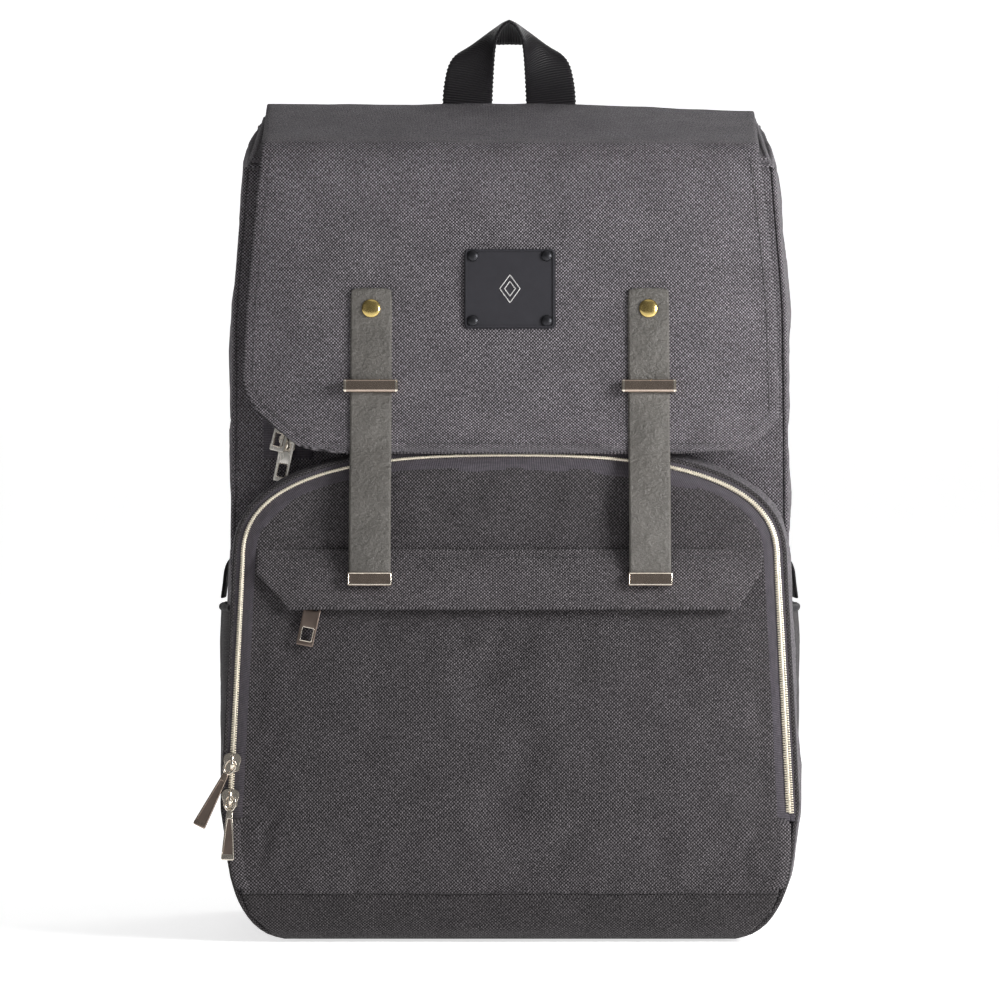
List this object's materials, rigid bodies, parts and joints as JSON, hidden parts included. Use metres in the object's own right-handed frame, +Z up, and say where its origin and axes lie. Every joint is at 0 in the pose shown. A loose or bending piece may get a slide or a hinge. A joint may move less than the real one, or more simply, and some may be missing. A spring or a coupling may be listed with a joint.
{
  "type": "diaper bag",
  "caption": "Flap-top baby changing backpack with a zipped front pocket, two strapped closures, side pockets, a haul loop and padded shoulder straps.",
  "frame": {"origin": "centre of the base's underside, on the floor that the bag stands on", "axes": "+Z up, -Y towards the front pocket and label, +X to the right as seen from the front"},
  "size_m": [0.3119, 0.2411, 0.4824],
  "materials": {
    "charcoal_cloth": "heathered charcoal two-tone canvas, matte",
    "grey_lining": "smooth woven lining",
    "black_mesh": "spacer mesh over foam",
    "black_webbing": "ribbed satin webbing",
    "grey_leather": "fine-grained coated leather",
    "pale_gold": "pale rose-gold plate, polished",
    "brass_rivet": "polished",
    "black_metal": "satin black",
    "label_black": "matte black with a thin raised rim",
    "black_plastic": "moulded",
    "stiffener": "plain board"
  },
  "bodies": {
    "root": {"base_panel": "charcoal_cloth", "base_board": "stiffener", "main_front_panel": "charcoal_cloth", "back_panel": "charcoal_cloth", "back_padding": "black_mesh", "divider_sleeve": "grey_lining", "main_zip": "pale_gold", "gusset_left": "charcoal_cloth", "gusset_right": "charcoal_cloth", "side_pocket_left": "charcoal_cloth", "side_pocket_right": "charcoal_cloth", "side_loop_left": "black_webbing", "side_loop_right": "black_webbing", "pocket_gusset": "charcoal_cloth", "pocket_lower_panel": "charcoal_cloth", "pocket_zip_outer": "pale_gold", "strap_yoke": "charcoal_cloth"},
    "lid": {"top_panel": "charcoal_cloth"},
    "flap_crown": {"flap_top": "charcoal_cloth"},
    "flap_face": {"flap_front": "charcoal_cloth", "label_plate": "label_black", "label_rivet_1": "black_metal", "label_rivet_2": "black_metal", "label_rivet_3": "black_metal", "label_rivet_4": "black_metal", "strap_upper_left": "grey_leather", "strap_upper_right": "grey_leather", "strap_rivet_left": "brass_rivet", "strap_rivet_right": "brass_rivet", "keeper_left": "pale_gold", "keeper_right": "pale_gold"},
    "tail_left": {"strap_tail_left": "grey_leather", "strap_magnet_left": "black_metal", "strap_tip_left": "pale_gold"},
    "tail_right": {"strap_tail_right": "grey_leather", "strap_magnet_right": "black_metal", "strap_tip_right": "pale_gold"},
    "pocket_face": {"pocket_door": "charcoal_cloth", "pocket_zip_inner": "pale_gold", "pocket_magnet_left": "black_metal", "pocket_magnet_right": "black_metal", "storm_zip": "pale_gold"},
    "storm_cover": {"storm_flap": "charcoal_cloth"},
    "storm_runner": {"storm_slider": "pale_gold"},
    "storm_tab": {"storm_pull": "pale_gold"},
    "pocket_upper_runner": {"pocket_upper_slider": "pale_gold"},
    "pocket_upper_tab": {"pocket_upper_pull": "pale_gold"},
    "pocket_lower_runner": {"pocket_lower_slider": "pale_gold"},
    "pocket_lower_tab": {"pocket_lower_pull": "pale_gold"},
    "main_upper_runner": {"main_upper_slider": "pale_gold"},
    "main_upper_tab": {"main_upper_pull": "pale_gold"},
    "main_lower_runner": {"main_lower_slider": "pale_gold"},
    "main_lower_tab": {"main_lower_pull": "pale_gold"},
    "haul_loop": {"handle": "black_webbing"},
    "harness_left": {"shoulder_pad_left": "black_mesh", "ladder_lock_left": "black_plastic", "webbing_left": "black_webbing"},
    "harness_right": {"shoulder_pad_right": "black_mesh", "ladder_lock_right": "black_plastic", "webbing_right": "black_webbing"}
  },
  "joints": [
    {"name": "flap_lift", "type": "hinge", "parent": "root", "child": "flap_crown", "pos_m": [0, 0.0795, 0.4375], "axis": [-1, 0, 0], "range_deg": [0, 80]},
    {"name": "lid_lift", "type": "hinge", "parent": "root", "child": "lid", "pos_m": [0, 0.0755, 0.4295], "axis": [-1, 0, 0], "range_deg": [0, 80]},
    {"name": "flap_fold", "type": "hinge", "parent": "flap_crown", "child": "flap_face", "pos_m": [0, -0.0502, 0.4008], "axis": [-1, 0, 0], "range_deg": [0, 110]},
    {"name": "strap_lift_left", "type": "hinge", "parent": "flap_face", "child": "tail_left", "pos_m": [-0.0705, -0.06824, 0.27354], "axis": [-1, 0, 0], "range_deg": [0, 100]},
    {"name": "strap_lift_right", "type": "hinge", "parent": "flap_face", "child": "tail_right", "pos_m": [0.0705, -0.06824, 0.27354], "axis": [-1, 0, 0], "range_deg": [0, 100]},
    {"name": "pocket_fold", "type": "hinge", "parent": "root", "child": "pocket_face", "pos_m": [0, -0.09157, 0.09542], "axis": [1, 0, 0], "range_deg": [0, 44]},
    {"name": "storm_lift", "type": "hinge", "parent": "pocket_face", "child": "storm_cover", "pos_m": [0, -0.07717, 0.19593], "axis": [-1, 0, 0], "range_deg": [0, 33]},
    {"name": "storm_slide", "type": "slide", "parent": "pocket_face", "child": "storm_runner", "axis": [1, 0, 0], "range_m": [0, 0.195]},
    {"name": "storm_swing", "type": "hinge", "parent": "storm_runner", "child": "storm_tab", "pos_m": [-0.0985, -0.08267, 0.17049], "axis": [0, -0.9861, 0.1661], "range_deg": [-25, 25]},
    {"name": "pocket_upper_slide", "type": "slide", "parent": "root", "child": "pocket_upper_runner", "axis": [-0.039, -0.166, -0.9854], "range_m": [-0.098, 0]},
    {"name": "pocket_upper_swing", "type": "hinge", "parent": "pocket_upper_runner", "child": "pocket_upper_tab", "pos_m": [-0.13898, -0.09445, 0.09033], "axis": [-0.891, 0.0754, 0.4477], "range_deg": [0, 120]},
    {"name": "pocket_lower_slide", "type": "slide", "parent": "root", "child": "pocket_lower_runner", "axis": [-0.039, -0.166, -0.9854], "range_m": [-0.003, 0.003]},
    {"name": "pocket_lower_swing", "type": "hinge", "parent": "pocket_lower_runner", "child": "pocket_lower_tab", "pos_m": [-0.13969, -0.09744, 0.07258], "axis": [-0.9994, 0.0058, 0.0344], "range_deg": [0, 120]},
    {"name": "main_upper_slide", "type": "slide", "parent": "root", "child": "main_upper_runner", "axis": [0, 0, 1], "range_m": [0, 0.08]},
    {"name": "main_upper_swing", "type": "hinge", "parent": "main_upper_runner", "child": "main_upper_tab", "pos_m": [-0.114, -0.0428, 0.269], "axis": [-0.9703, 0, 0.2419], "range_deg": [0, 22]},
    {"name": "main_lower_slide", "type": "slide", "parent": "root", "child": "main_lower_runner", "axis": [0, 0, 1], "range_m": [0, 0.005]},
    {"name": "main_lower_swing", "type": "hinge", "parent": "main_lower_runner", "child": "main_lower_tab", "pos_m": [-0.114, -0.0428, 0.251], "axis": [-0.9816, 0, 0.1908], "range_deg": [0, 10]},
    {"name": "haul_loop_fold", "type": "hinge", "parent": "root", "child": "haul_loop", "pos_m": [0, 0.0815, 0.429], "axis": [-1, 0, 0], "range_deg": [0, 75]},
    {"name": "harness_swing_left", "type": "hinge", "parent": "root", "child": "harness_left", "pos_m": [-0.13, 0.0894, 0.048], "axis": [0.2245, 0.0314, 0.974], "range_deg": [-30, 35]},
    {"name": "harness_swing_right", "type": "hinge", "parent": "root", "child": "harness_right", "pos_m": [0.13, 0.0894, 0.048], "axis": [0.2245, -0.0314, -0.974], "range_deg": [-30, 35]}
  ],
  "couplings": [
    {"joint": "lid_lift", "follows": "flap_lift", "ratio": 1},
    {"joint": "pocket_fold", "follows": "flap_fold", "ratio": 0.4},
    {"joint": "storm_lift", "follows": "flap_fold", "ratio": 0.3}
  ]
}
